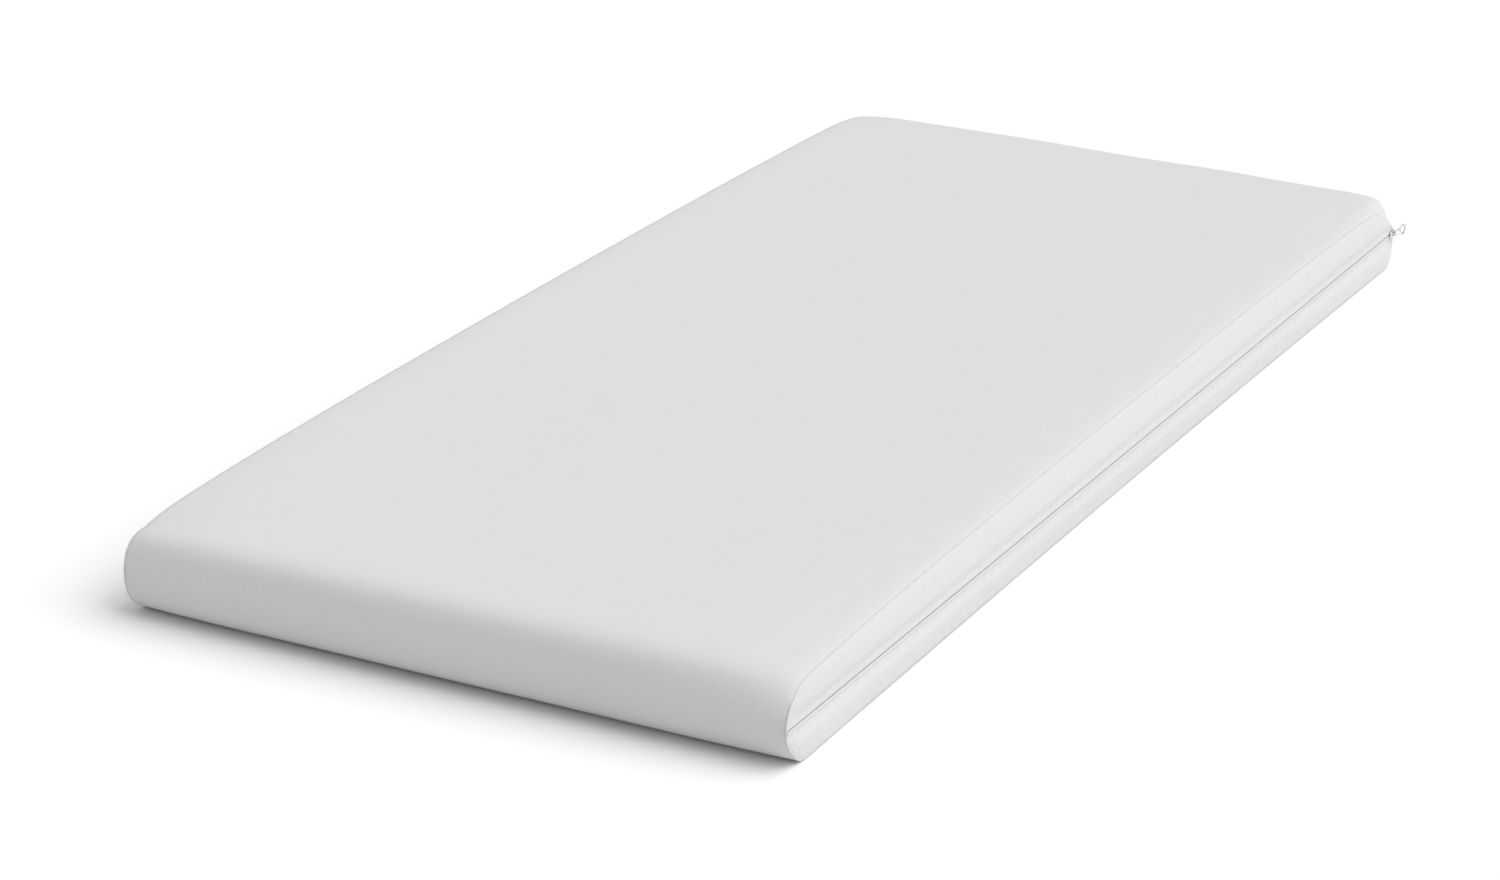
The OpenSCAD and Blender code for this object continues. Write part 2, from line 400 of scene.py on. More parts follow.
def build_form():
    """Points, faces and places of the coarse form."""
    stations = loop_stations(FORM_RUN, FORM_NOSE, FORM_RUN)
    n = len(stations)
    y, z = skin(FORM_X[:, None], stations[None, :])
    points = [np.stack([np.broadcast_to(FORM_X[:, None], y.shape), y, z], -1).reshape(-1, 3)]
    faces = grid_faces(len(FORM_X), n, close_columns=True)
    steps = np.arange(FORM_RUN + FORM_NOSE + 1)
    below = (n - FORM_NOSE // 2 + steps) % n
    above = (n - FORM_NOSE // 2 - steps) % n
    start = len(points[0])
    side_ids = {}
    for side, first in ((-1, 0), (1, (len(FORM_X) - 1) * n)):
        low = points[0][first + below[1:-1]]
        high = points[0][first + above[1:-1]]
        rows = []
        for share in SIDE_SHARES:
            row = low + (high - low) * share
            row[:, 2] = height_at(share, low[:, 2], high[:, 2])
            rows.append(row)
        ids = start + np.arange(len(rows) * len(low)).reshape(len(rows), -1)
        side_ids[side] = ids
        points.append(np.concatenate(rows))
        start += ids.size
        grid = np.vstack([first + below[1:-1], ids, first + above[1:-1]])
        tips = first + below[0], first + below[-1]
        for r in range(len(grid) - 1):
            for j in range(grid.shape[1] - 1):
                quad = (grid[r, j], grid[r, j + 1], grid[r + 1, j + 1], grid[r + 1, j])
                faces.append(tuple(int(i) for i in (quad if side > 0 else quad[::-1])))
            for tip, j, turn in ((tips[0], 0, 1), (tips[1], -1, -1)):
                face = (tip, grid[r, j], grid[r + 1, j])
                faces.append(tuple(int(i) for i in (face if side * turn > 0 else face[::-1])))
    return stations, np.concatenate(points), faces, side_ids


form_stations, form_points, form_faces, side_ids = build_form()
form_y = form_points[side_ids[1][0], 1]
print("coarse form", len(form_points), "points")

# %% [markdown]
# The cloth is stiff, so the pressure decides how far it swells. Gravity is off,
# as the mattress lies on its base and the foam inside carries the cover.

# %% Swell it
def inflate(points, faces, pinned, pressure, frames=20):
    """Runs the cloth with pressure and without gravity, and returns the new points."""
    form = bpy.data.objects.new("coarse form", make_mesh("coarse form", points, faces))
    bpy.context.scene.collection.objects.link(form)
    pins = form.vertex_groups.new(name="pins")
    pins.add([int(i) for i in np.flatnonzero(pinned)], 1.0, "REPLACE")
    cloth = form.modifiers.new("cloth", "CLOTH")
    settings = cloth.settings
    settings.quality = 4
    settings.mass = 0.3
    settings.tension_stiffness = 30
    settings.compression_stiffness = 30
    settings.shear_stiffness = 12
    settings.bending_stiffness = 4
    settings.use_pressure = True
    settings.uniform_pressure_force = pressure
    settings.vertex_group_mass = "pins"
    settings.effector_weights.gravity = 0
    cloth.collision_settings.use_collision = False
    for step in range(1, frames + 1):
        bpy.context.scene.frame_set(step)
    made = form.evaluated_get(bpy.context.evaluated_depsgraph_get()).data
    result = np.zeros(len(made.vertices) * 3, np.float32)
    made.vertices.foreach_get("co", result)
    bpy.context.scene.frame_set(1)
    bpy.data.objects.remove(form)
    return result.reshape(-1, 3).astype(float)


def capped(distance, cap):
    """Lets small movements through and keeps large ones under the cap."""
    return cap * np.tanh(np.maximum(distance, 0) / cap)


n_loop = len(form_stations)
pinned = form_points[:, 2] < 1 * MM
pinned[:n_loop] = True
pinned[(len(FORM_X) - 1) * n_loop:len(FORM_X) * n_loop] = True
pinned[side_ids[1][SIDE_SHARES == 0.5]] = True

swelled = inflate(form_points, form_faces, pinned, pressure=4.0)
movement = swelled - form_points

# %% [markdown]
# The movements become three tables: outwards over the wrap, and sideways over
# each side. Foam is flat on top, so the wrap may rise by little. The sides are
# pushed out by the springy edge of the foam, which air pressure alone doesn't
# show, so their movement is multiplied. When the simulation is skipped, a smooth
# hump stands in for the sides.

# %% Keep the movements as tables
TOP_CAP = 1.5 * MM
NOSE_CAP = 3.0 * MM
SIDE_CAP = 6.5 * MM
SIDE_GAIN = {-1: 3.0, 1: 5.0}

shape = (len(FORM_X), n_loop)
loop_y = form_points[:shape[0] * shape[1], 1].reshape(shape)
loop_z = form_points[:shape[0] * shape[1], 2].reshape(shape)
normal_y, normal_z = outward(loop_y, loop_z)
loop_moved = movement[:shape[0] * shape[1]].reshape(*shape, 3)
cap = TOP_CAP + (NOSE_CAP - TOP_CAP) * np.abs(normal_y)
wrap_rise = capped(loop_moved[..., 1] * normal_y + loop_moved[..., 2] * normal_z, cap)

side_rise = {}
for side, ids in side_ids.items():
    table = capped(SIDE_GAIN[side] * side * movement[ids, 0], SIDE_CAP)
    side_rise[side] = np.vstack([0 * form_y, table, 0 * form_y])
print("swelling of the wrap", round(float(wrap_rise.max()) / MM, 2), "mm, of the sides",
      [round(float(side_rise[s].max()) / MM, 2) for s in (-1, 1)], "mm, before the caps",
      round(float(np.abs(movement).max()) / MM, 2), "mm")


def eased(share):
    """A share from 0 to 1 that starts and ends gently."""
    return share * share * (3 - 2 * share)


def look_up(table, rows, columns, row, column):
    """Reads a table between its points."""
    r = np.clip(np.interp(row, rows, np.arange(len(rows))), 0, len(rows) - 1.001)
    c = np.clip(np.interp(column, columns, np.arange(len(columns))), 0, len(columns) - 1.001)
    r0, c0 = r.astype(int), c.astype(int)
    down, right = eased(r - r0), eased(c - c0)
    first = table[r0, c0] * (1 - right) + table[r0, c0 + 1] * right
    second = table[r0 + 1, c0] * (1 - right) + table[r0 + 1, c0 + 1] * right
    return first * (1 - down) + second * down


# %% [markdown]
# ## The wrap
# On the real cover this is one long piece of woven cloth. Its grid follows the
# loop one way and the width the other. The columns are close together near the
# side seams, because the puckers are there. It could be one smooth slab, but the
# puckers and the slight sag beside the seams are what makes it look sewn.

# %% Rules for the wrap
LONG_WAVE = 0.45 * MM                 # waves of the foam under the cloth
LONG_WAVE_FADE = 60 * MM              # they die out this near a seam
RIPPLE = {"wrap": 0.10 * MM, "panel": 0.12 * MM}    # short waves of the cloth itself
WRAP_PUCKER = 0.32 * MM
WRAP_PUCKER_FADE = 9 * MM
CROWDING = 1.7                        # above 1, columns stand closer towards the seams


def wrap_columns(count, edge_step, limit):
    """Places across the width, close together near both sides."""
    t = np.linspace(-1, 1, count)
    spread = np.sign(t) * (1 - (1 - np.abs(t)) ** CROWDING)
    small = limit - edge_step * np.arange(4)
    inner = spread[np.abs(spread) * limit < small[-1] - edge_step] * limit
    return np.concatenate([-small, inner, small[::-1]])


def wrap_points(xs, stations):
    """Points of the wrap, a row for each place across the width."""
    x = xs[:, None] + 0 * stations[None, :]
    y, z = skin(x, stations[None, :])
    ny, nz = outward(y, z)
    edge = WRAP_X - np.abs(x)
    over = np.clip(z / THICK * 3, 0, 1)    # the underside lies flat on the floor
    lift = LONG_WAVE * waves(SLOW, x, y) * (1 - np.exp(-edge / LONG_WAVE_FADE)) * over
    lift = lift + RIPPLE["wrap"] * waves(FINE, x, y) * over
    for side, name in ((-1, "left"), (1, "right")):
        near = np.exp(-(WRAP_X - side * x) / WRAP_PUCKER_FADE) * over
        lift = lift + WRAP_PUCKER * waves(PUCKER[name], y + z) * near
    wrapped = np.concatenate([form_stations, [4.0]])
    table = np.concatenate([wrap_rise, wrap_rise[:, :1]], 1)
    lift = lift + look_up(table, FORM_X, wrapped, x, stations[None, :] + 0 * x)
    y = y + ny * lift
    z = z + nz * lift
    return np.stack([x + bow(y), y, np.maximum(z, 0)], -1)


xs = wrap_columns(54, 2.2 * MM, WRAP_X)
print("columns across the wrap", len(xs))


# %% Build the wrap
def tape_measure(points):
    """Distance along each loop from its first station."""
    step = np.linalg.norm(np.diff(points, axis=1), axis=2)
    return np.concatenate([np.zeros((len(points), 1)), np.cumsum(step, 1)], 1)


stations = np.append(loop_stations(under=150, nose=34, over=430), 4.0)
points = wrap_points(xs, stations)
points[:, -1] = points[:, 0]
along = tape_measure(points)
uv = np.stack([xs[:, None] + 0 * along, along], -1)
faces = grid_faces(len(xs), len(stations))
mesh = make_mesh("wrap_cloth", points.reshape(-1, 3), faces, uv.reshape(-1, 2))
cover_wrap = make_piece("wrap_cloth", mesh, "mattress", "cover_fabric", "cover_wrap")
thicken(cover_wrap, CLOTH)
print("wrap", len(points.reshape(-1, 3)), "points")

# %% [markdown]
# ## The side panels
# A panel swells between its seams and dips towards them. The right one is in two
# strips. Each folds in at the zip and makes a soft lip, and a row of stitches a
# little away from the fold holds the zip's tape behind it. The strips have to
# stay flat beside the zip, because the slider and its pull run there.

# %% Rules for the panels
PANEL_WAVE = 0.30 * MM    # long waves
PANEL_WAVE_FADE = 6 * MM  # they die out this near a seam
PANEL_PUCKER = 0.30 * MM
PANEL_PUCKER_FADE = 8 * MM
TURN_IN = 0.3 * MM        # the panel's edge turns in towards the seam
TURN_IN_REACH = 3 * MM
LIP = 0.29 * MM           # from the middle of the zip to each lip
LIP_OUT = 0.2 * MM        # the folded cloth stands out by this beside the zip
LIP_FOLD = {"upper": 0.15 * MM, "lower": 0.75 * MM}    # more of it, at the fold itself
LIP_ROUND = 0.5 * MM      # the lip's edge rounds inwards by this
FLAT_BAND = 5.2 * MM      # the slider's front plate covers this much
FLAT_FADE = 13 * MM       # beyond it, a strip takes this much more to swell in full
STITCH_ROW = 7.2 * MM     # from the middle of the zip to the row of stitches
STITCH_GROOVE = 0.2 * MM  # the stitches pull the cloth in by this
CRIMP = 0.22 * MM         # sewing leaves the cloth uneven beside the stitches
CRIMP_AT = 9 * MM
CRIMP_REACH = 5 * MM


def swell_of_side(side, y, z, low, high):
    """How far a side is pushed out."""
    below = 0.5 * (z - low) / np.maximum(ZIP_Z - low, 1e-6)
    above = 0.5 + 0.5 * (z - ZIP_Z) / np.maximum(high - ZIP_Z, 1e-6)
    share = np.clip(np.where(z < ZIP_Z, below, above), 0, 1)
    rows = np.concatenate([[0], SIDE_SHARES, [1]])
    return look_up(side_rise[side], rows, form_y, share, y)


def bell(distance, width):
    """1 where the distance is nothing, and less and less both ways."""
    return np.exp(-(distance / width) ** 2)


def panel_x(side, y, z, strip=None):
    """Outer surface of a side panel, or of its upper or lower strip."""
    low, high = edge_heights(side, y)
    edge = np.maximum(np.minimum(z - low, high - z), 0)
    lively = 1 - bell(edge, PANEL_WAVE_FADE)
    puckers = waves(PUCKER["left" if side < 0 else "right"], y + z) * np.exp(-edge / PANEL_PUCKER_FADE)
    out = swell_of_side(side, y, z, low, high)
    out = out + (PANEL_WAVE * waves(SLOW, z, y) + RIPPLE["panel"] * waves(FINE, z, y)) * lively
    out = out + PANEL_PUCKER * puckers * lively - TURN_IN * bell(edge, TURN_IN_REACH)
    bend = bow(y) * np.ones_like(z)
    if strip:
        from_zip = np.abs(z - ZIP_Z)
        out = out * eased(np.clip((from_zip - FLAT_BAND) / FLAT_FADE, 0, 1))
        out = out + LIP_OUT + LIP_FOLD[strip] * bell(from_zip - 1.5 * MM, 2.2 * MM)
        out = out - LIP_ROUND * np.exp(-(from_zip - LIP) / (0.25 * MM))
        out = out - STITCH_GROOVE * bell(from_zip - STITCH_ROW, 1.1 * MM)
        crimp = CRIMP * waves(PUCKER[strip], y) * bell(from_zip - CRIMP_AT, CRIMP_REACH)
        out = out + crimp * (1 - bell(from_zip, CRIMP_REACH))
        bend = bend * eased(np.clip(from_zip / (ZIP_Z * 0.9), 0, 1))    # straight beside the zip
    return side * (HALF_W + out) + bend


crown_of_left = HALF_W + panel_x(-1, np.zeros(1), np.full(1, THICK / 2))[0]
print("the left panel's middle stands out", round(-crown_of_left / MM, 1), "mm with its bow")

# %% Build the panels
CLOTH_OFFSET = 0.31       # metres that the weave is moved by, so that the two sides differ


def panel_piece(name, side, rows_at, strip=None):
    """A panel or a strip of one. rows_at gives the heights of its rows from its two edges."""
    y = side_columns(side, 470, 30)
    low, high = edge_heights(side, y)
    z = rows_at(low, high)
    y_grid = np.broadcast_to(y, z.shape)
    points = np.stack([panel_x(side, y_grid, z, strip), y_grid, z], -1)
    uv = np.stack([z, y_grid + CLOTH_OFFSET * side], -1)
    faces = grid_faces(*z.shape, flip=side < 0)
    mesh = make_mesh(name + "_cloth", points.reshape(-1, 3), faces, uv.reshape(-1, 2))
    piece = make_piece(name + "_cloth", mesh, "mattress", "cover_fabric", name)
    thicken(piece, CLOTH)
    return piece, float(np.trapz(high - low, y))


def whole_rows(low, high):
    """Evenly spaced heights between the two seams."""
    return low + (high - low) * np.linspace(0, 1, 30)[:, None]


# Distances of a strip's first rows from its lip.
LIP_STEPS = np.array([0, 0.15, 0.35, 0.6, 1.0, 1.6, 2.5, 4.0, 5.4, 6.2, 6.9, 7.6, 8.6, 10]) * MM


def strip_rows(edge, direction):
    """Heights of a strip's rows: close together at the lip and the stitches, then even."""
    reach = np.abs(edge - ZIP_Z) - LIP
    steps = LIP_STEPS[:, None] * np.minimum(1, reach / (12 * MM))[None, :]
    share = np.linspace(0, 1, 17)[1:, None]
    rest = steps[-1] + (reach - steps[-1]) * share
    return ZIP_Z + direction * (LIP + np.concatenate([steps, rest]))


def upper_rows(low, high):
    """Rows of the upper strip, from the zip to the upper seam."""
    return strip_rows(high, 1)


def lower_rows(low, high):
    """Rows of the lower strip, from the lower seam to the zip."""
    return strip_rows(low, -1)[::-1]


panel_left, left_area = panel_piece("side_panel_left", -1, whole_rows)
panel_upper, _ = panel_piece("side_panel_right_upper", 1, upper_rows, "upper")
panel_lower, _ = panel_piece("side_panel_right_lower", 1, lower_rows, "lower")
print("left panel", round(left_area, 4), "m2")

# %% [markdown]
# ## The sewn ridges
# Where a panel meets the wrap, both edges turn in and the seam stands up as a
# narrow ridge. It could be left out at this size, but it catches the light and
# draws the outline of the end. At the zip's two ends the folded hems are sewn
# into the seam as well, so the ridge is thicker there.

# %% Sweep the ridges
RIDGE = 1.1 * MM          # half of the ridge's width round the ends
LONG_SHARE = 0.5          # along the sides the ridge is pressed flatter
HEM = 0.5 * MM            # how much the folded hems add to the ridge
HEM_HALF = 24 * MM        # the folded hems reach this far above and below the zip,
HEM_ZONE = 40 * MM        # and are found this near the mattress's ends
PROUD = 0.1 * MM          # how far the ridge stands out of the wrap
IN_AT_END = {-1: 0.4 * MM, 1: 0.75 * MM}    # how far it lies inside the panel's face
IN_ALONG = 0.9 * MM
RIDGE_SIDES = 10


def ridge_piece(name, side):
    """A tube along a side's outline."""
    y, z = skin(side * WRAP_X, loop_stations(under=750, nose=120, over=750))
    ny, nz = (n[0] for n in outward(y[None], z[None]))
    pucker = waves(PUCKER["left" if side < 0 else "right"], y + z)
    hem = np.zeros_like(y)
    if side > 0:
        at_end = np.clip((np.abs(y) - (HALF_L - HEM_ZONE)) / (HEM_ZONE / 2), 0, 1)
        hem = at_end / (1 + np.exp((np.abs(z - ZIP_Z) - HEM_HALF) / (1.3 * MM)))
    standing = np.clip(np.abs(ny) * 2, 0, 1)
    size = RIDGE * (LONG_SHARE + (1 - LONG_SHARE) * standing)
    half_out = size + HEM * hem + 0.06 * MM * pucker
    shift = half_out - 2 * size + PROUD + 0.08 * MM * pucker
    inside = IN_AT_END[side] * standing + IN_ALONG * (1 - standing)
    centres = np.stack([side * (HALF_W - inside) + bow(y), y + ny * shift, z + nz * shift], -1)
    centres[:, 2] = np.maximum(centres[:, 2], RIDGE * 0.9)
    dir_a = np.stack([0 * y, ny, nz], -1)
    dir_b = np.broadcast_to([1.0, 0.0, 0.0], dir_a.shape)
    points, faces = tube(centres, (half_out, size, dir_a, dir_b), around=RIDGE_SIDES, closed=True)
    points[:, 2] = np.maximum(points[:, 2], 0)
    step = np.concatenate([[0], np.cumsum(np.linalg.norm(np.diff(centres, axis=0), axis=1))])
    across = np.arange(RIDGE_SIDES) * 0.8 * MM
    uv = np.stack([np.tile(across, len(step)), np.repeat(step, RIDGE_SIDES)], -1)
    mesh = make_mesh(name + "_cloth", points, faces, uv, closed=True)
    return make_piece(name + "_cloth", mesh, "mattress", "cover_fabric", name)


ridges = [ridge_piece("seam_ridge_left", -1), ridge_piece("seam_ridge_right", 1)]
print("ridge", round(2 * RIDGE / MM, 1), "mm wide, and", round(2 * HEM / MM, 1), "mm more at the zip")

# %% [markdown]
# ## The stitches beside the zip
# Two rows of stitches hold the tapes. Each stitch is a short rounded thread that
# lies in the shallow groove that it has pulled. A printed line would be quicker,
# and it would look printed from close by.

# %% Sew the rows
STITCH = 2.5 * MM
PITCH = 3.3 * MM          # from one stitch to the next
THREAD = 0.22 * MM        # radius of the thread
ROW_START = 26 * MM       # from the mattress's ends


def thread(centres, half, around):
    """A round thread that runs over a panel's face."""
    dir_a = np.broadcast_to([1.0, 0.0, 0.0], centres.shape)
    dir_b = np.broadcast_to([0.0, 0.0, 1.0], centres.shape)
    return tube(centres, (half, half, dir_a, dir_b), around=around)


def stitch(start, end, radius):
    """A thread that dives into the cloth at both ends."""
    share = np.array([0, 0.15, 0.5, 0.85, 1])[:, None]
    centres = start + (end - start) * share
    centres[:, 0] += np.array([-0.7, 0.35, 0.6, 0.35, -0.7]) * radius    # out of the cloth and back
    return thread(centres, radius * np.array([0.6, 1, 1, 1, 0.6]), around=6)


def stitch_row(strip, height):
    """Stitches along the zip at one height."""
    parts = []
    for y in np.arange(-HALF_L + ROW_START, HALF_L - ROW_START, PITCH):
        ends = np.array([y, y + STITCH])
        x = panel_x(1, ends, np.full(2, height), strip)
        start, end = (np.array([x[k], ends[k], height]) for k in (0, 1))
        parts.append(stitch(start, end, THREAD))
    return parts


rows = stitch_row("upper", ZIP_Z + STITCH_ROW) + stitch_row("lower", ZIP_Z - STITCH_ROW)
points, faces = together(rows)
mesh = make_mesh("zip_stitches", points, faces, closed=True)
zip_stitches = make_piece("zip_stitches", mesh, "mattress", "cover_fabric")
print("stitches", len(rows))

# %% [markdown]
# ## The foam and its liner
# The base foam is cut from a block and the memory foam is glued on top of it.
# Both follow the shape of the cover from inside. The liner is a thin knitted bag
# that stays on when the cover is washed. The same rule draws all three, a little
# further in each time, so that no layer cuts through another.

# %% Build the foam and the liner
EDGE_ROUND = {0: 3.2, 0.5: 1.4, 1.8: 0.3}      # mm from the side: mm that its edges are rounded by
EDGE_COLUMNS = (4, 6, 8, 11, 15, 21, 30, 44, 66)    # further columns in mm from the side
END_GAP = 1.0 * MM                             # the layers stay this much further in at the ends


def inner_columns(reach):
    """Places from side to side, and how much the edges are rounded at each."""
    from_side = np.array([*EDGE_ROUND, *EDGE_COLUMNS]) * MM
    rounding = np.array([*EDGE_ROUND.values(), *np.zeros(len(EDGE_COLUMNS))]) * MM
    middle = np.linspace(-reach + 90 * MM, reach - 90 * MM, 16)
    places = np.concatenate([from_side - reach, middle, reach - from_side[::-1]])
    return places, np.concatenate([rounding, 0 * middle, rounding[::-1]])


def inner_body(name, inset, reach, z_from, z_to):
    """A closed body inside the cover, between two heights."""
    stations = loop_stations(under=150, nose=48, over=150)
    xs, rounding = inner_columns(reach)
    x = xs[:, None] + 0 * stations[None, :]
    y, z = skin(x * WRAP_X / reach, stations[None, :])
    ny, nz = outward(y, z)
    along_nose = np.minimum(1, 4 * np.sin(np.pi * (stations % 1)))
    at_ends = np.where(stations % 2 >= 1, along_nose, 0)
    depth = inset + rounding[:, None] + END_GAP * at_ends[None, :]
    y = y - ny * depth
    z = z - nz * depth
    inside = (z >= z_from) & (z <= z_to)
    front = np.where(inside, y, HALF_L).min(1, keepdims=True)
    rear = np.where(inside, y, -HALF_L).max(1, keepdims=True)
    y = np.clip(y, front, rear)
    limit = rounding[:, None] * 0.6
    z = np.clip(z, z_from + limit, z_to - limit)
    points = np.stack([x + bow(y), y, z], -1)
    faces = grid_faces(len(xs), len(stations), close_columns=True)
    n = len(stations)
    faces.append(tuple(range(n)))
    faces.append(tuple(range((len(xs) - 1) * n, len(xs) * n))[::-1])
    step = np.hypot(np.diff(y, axis=1, prepend=y[:, :1]), np.diff(z, axis=1, prepend=z[:, :1]))
    uv = np.stack([x, np.cumsum(step, 1)], -1)
    return make_mesh(name, points.reshape(-1, 3), faces, uv.reshape(-1, 2), closed=True)


def layer(name, node, finish, inset, z_from=0.0, z_to=1.0):
    """A foam or the liner, this far inside the cover and between two heights."""
    mesh = inner_body(name, inset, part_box(node)[1].x, z_from, z_to)
    return make_piece(name, mesh, "mattress", finish, node)


FOAM_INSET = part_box("foam_base")[0].z
LINER_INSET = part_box("inner_liner")[0].z
base = layer("base_foam_block", "foam_base", "base_foam", FOAM_INSET, FOAM_INSET, SPLIT_Z)
comfort = layer("memory_foam_layer", "foam_comfort", "memory_foam", FOAM_INSET, SPLIT_Z)
liner = layer("liner_bag", "inner_liner", "liner_knit", LINER_INSET)
thicken(liner, 0.6 * MM)
print("foam inset", round(FOAM_INSET / MM, 2), "mm, liner inset", round(LINER_INSET / MM, 2), "mm")

# %% [markdown]
# ## The zip
# This is a coil zip: on each edge of the tape sits one long nylon spiral, and
# the slider presses the two together. Both spirals are modelled as real spirals,
# as toothed strips would look wrong where the lips let you see in. They run
# straight, because the slider moves along a straight line.

# %% Tapes, coils and thread bars
TAPE_GAP = 1.6 * MM       # from the tape's ends to the wrap
TURN = 1.5 * MM           # length of one turn of a spiral
WIRE = 0.33 * MM          # radius of the spiral's wire
BAR_THREAD = 0.42 * MM    # radius of the thread of a bar
BAR_TURNS = 14


def tape_piece(name, strip):
    """A woven tape with rounded ends, lying just inside the cover."""
    low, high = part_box(name)
    y = np.linspace(low.y, high.y, 400)
    z = np.linspace(low.z, high.z, 6)[:, None]
    y_edge, z_edge = OUTLINE[1][1 if strip == "upper" else 0]
    beyond = z_edge > z if strip == "upper" else z_edge < z
    front = np.where(beyond, y_edge, HALF_L).min(1, keepdims=True)
    rear = np.where(beyond, y_edge, -HALF_L).max(1, keepdims=True)
    y_grid = np.clip(y + 0 * z, front + TAPE_GAP, rear - TAPE_GAP)
    z_grid = z + 0 * y
    x = high.x + 0 * y_grid
    points = np.stack([x, y_grid, z_grid], -1).reshape(-1, 3)
    uv = np.stack([z_grid, y_grid], -1).reshape(-1, 2)
    mesh = make_mesh(name + "_cloth", points, grid_faces(len(z), len(y)), uv)
    piece = make_piece(name + "_cloth", mesh, "mattress", "zip_tape", name)
    thicken(piece, high.x - low.x)
    return piece


def coil_piece(name, around=5, per_turn=8):
    """A nylon spiral that fills the bar which stands for it in the model."""
    low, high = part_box(name)
    turns = int((high.y - low.y) / TURN)
    angle = np.linspace(0, 2 * math.pi * turns, turns * per_turn + 1)
    direction = 1 if name.endswith("upper") else -1
    middle = (low + high) / 2
    half_x = (high.x - low.x) / 2 - WIRE
    half_z = (high.z - low.z) / 2 - WIRE
    run = high.y - low.y - 2 * WIRE
    centres = np.stack([middle.x + half_x * np.cos(angle), low.y + WIRE + run * angle / angle[-1],
                        middle.z + direction * half_z * np.sin(angle)], -1)
    forward = np.gradient(centres, axis=0)
    forward /= np.linalg.norm(forward, axis=1)[:, None]
    dir_a = np.stack([np.cos(angle), 0 * angle, direction * np.sin(angle)], -1)
    dir_b = np.cross(forward, dir_a)
    dir_b /= np.linalg.norm(dir_b, axis=1)[:, None]
    half = WIRE * np.ones(len(angle))
    points, faces = tube(centres, (half, half, dir_a, dir_b), around=around)
    mesh = make_mesh(name + "_spiral", points, faces, closed=True)
    return make_piece(name + "_spiral", mesh, "mattress", "zip_coil", name)


def tack_piece(name):
    """A bar of zigzag thread that closes an end of the zip."""
    low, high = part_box(name)
    dive = 1.0 * MM * np.array([1, 0.25, 0, 0, 0.25, 1])    # into the tape at both ends
    heights = np.linspace(low.z + BAR_THREAD, high.z - BAR_THREAD, BAR_TURNS + 1)
    parts = []
    for k in range(BAR_TURNS):
        ends = (low.y + BAR_THREAD * 0.6, high.y - BAR_THREAD * 0.6)
        y_from, y_to = ends if k % 2 else ends[::-1]
        start = np.array([high.x - BAR_THREAD, y_from, heights[k]])
        end = np.array([high.x - BAR_THREAD, y_to, heights[k + 1]])
        centres = start + (end - start) * np.linspace(0, 1, len(dive))[:, None]
        centres[:, 0] -= dive
        parts.append(thread(centres, BAR_THREAD * np.ones(len(dive)), around=8))
    points, faces = together(parts)
    mesh = make_mesh(name + "_thread", points, faces, closed=True)
    return make_piece(name + "_thread", mesh, "mattress", "zip_tape", name)


tapes = [tape_piece("zip_tape_upper", "upper"), tape_piece("zip_tape_lower", "lower")]
coils = [coil_piece("zip_coil_upper"), coil_piece("zip_coil_lower")]
tacks = [tack_piece("zip_tack_front"), tack_piece("zip_tack_rear")]
print("turns of each spiral", int(coils[0].dimensions.y / TURN))

# %% [markdown]
# ## The slider and its pull
# Both are die-cast metal, so every edge is rounded. Each plate is drawn as a
# flat outline with its holes, and a curve gives it thickness and rounded edges.
# The slider is wider at the end where the open rows enter. The pull is a long
# tapered tongue with a ring at its tip.

# %% Cut plates from outlines
CORNER_STEPS = 6


def rounded(points, radius, steps=CORNER_STEPS):
    """Rounds the corners of an outline. Radius is one value, or one for each corner."""
    radii = [radius] * len(points) if np.isscalar(radius) else radius
    result = []
    for k, corner in enumerate(points):
        corner = np.array(corner, float)
        before = np.array(points[k - 1], float) - corner
        after = np.array(points[(k + 1) % len(points)], float) - corner
        before_length, after_length = np.linalg.norm(before), np.linalg.norm(after)
        before, after = before / before_length, after / after_length
        cosine = float(np.clip(before @ after, -1, 1))
        half = math.acos(cosine) / 2
        back = min(radii[k] / math.tan(half), 0.49 * min(before_length, after_length))
        for share in np.linspace(0, 1, steps):
            a = corner + before * back * (1 - share)
            b = corner + after * back * share
            result.append(a * (1 - share) + b * share)
    return result


def circle(centre, radius, steps):
    """Outline of a round hole."""
    turn = np.linspace(0, 2 * math.pi, steps, endpoint=False)
    return [(centre[0] + radius * math.cos(a), centre[1] + radius * math.sin(a)) for a in turn]


def stadium(centre, length, width, steps=14):
    """Outline of a slot with round ends."""
    outline = []
    for end in (1, -1):
        for a in np.linspace(-math.pi / 2, math.pi / 2, steps):
            outline.append((centre + end * ((length - width) / 2 + width / 2 * math.cos(a)),
                            end * width / 2 * math.sin(a)))
    return outline


def plate(outlines, thickness, edge, middle):
    """Points and faces of a plate with rounded edges.

    Its outlines lie in the YZ plane, and middle is the place of its middle in X.
    """
    curve = bpy.data.curves.new("plate", "CURVE")
    curve.dimensions = "2D"
    curve.fill_mode = "BOTH"
    curve.extrude = thickness / 2 - edge
    curve.bevel_depth = edge
    curve.bevel_resolution = 2
    curve.offset = -edge
    for outline in outlines:
        line = curve.splines.new("POLY")
        line.points.add(len(outline) - 1)
        for point, (u, v) in zip(line.points, outline):
            point.co = (u, v, 0, 1)
        line.use_cyclic_u = True
    holder = bpy.data.objects.new("plate", curve)
    bpy.context.scene.collection.objects.link(holder)
    bpy.context.view_layer.update()
    made = bpy.data.meshes.new_from_object(holder.evaluated_get(bpy.context.evaluated_depsgraph_get()))
    points = np.array([(middle + v.co.z, v.co.x, v.co.y) for v in made.vertices])
    faces = [tuple(p.vertices) for p in made.polygons]
    bpy.data.objects.remove(holder)
    bpy.data.meshes.remove(made)
    return points, faces


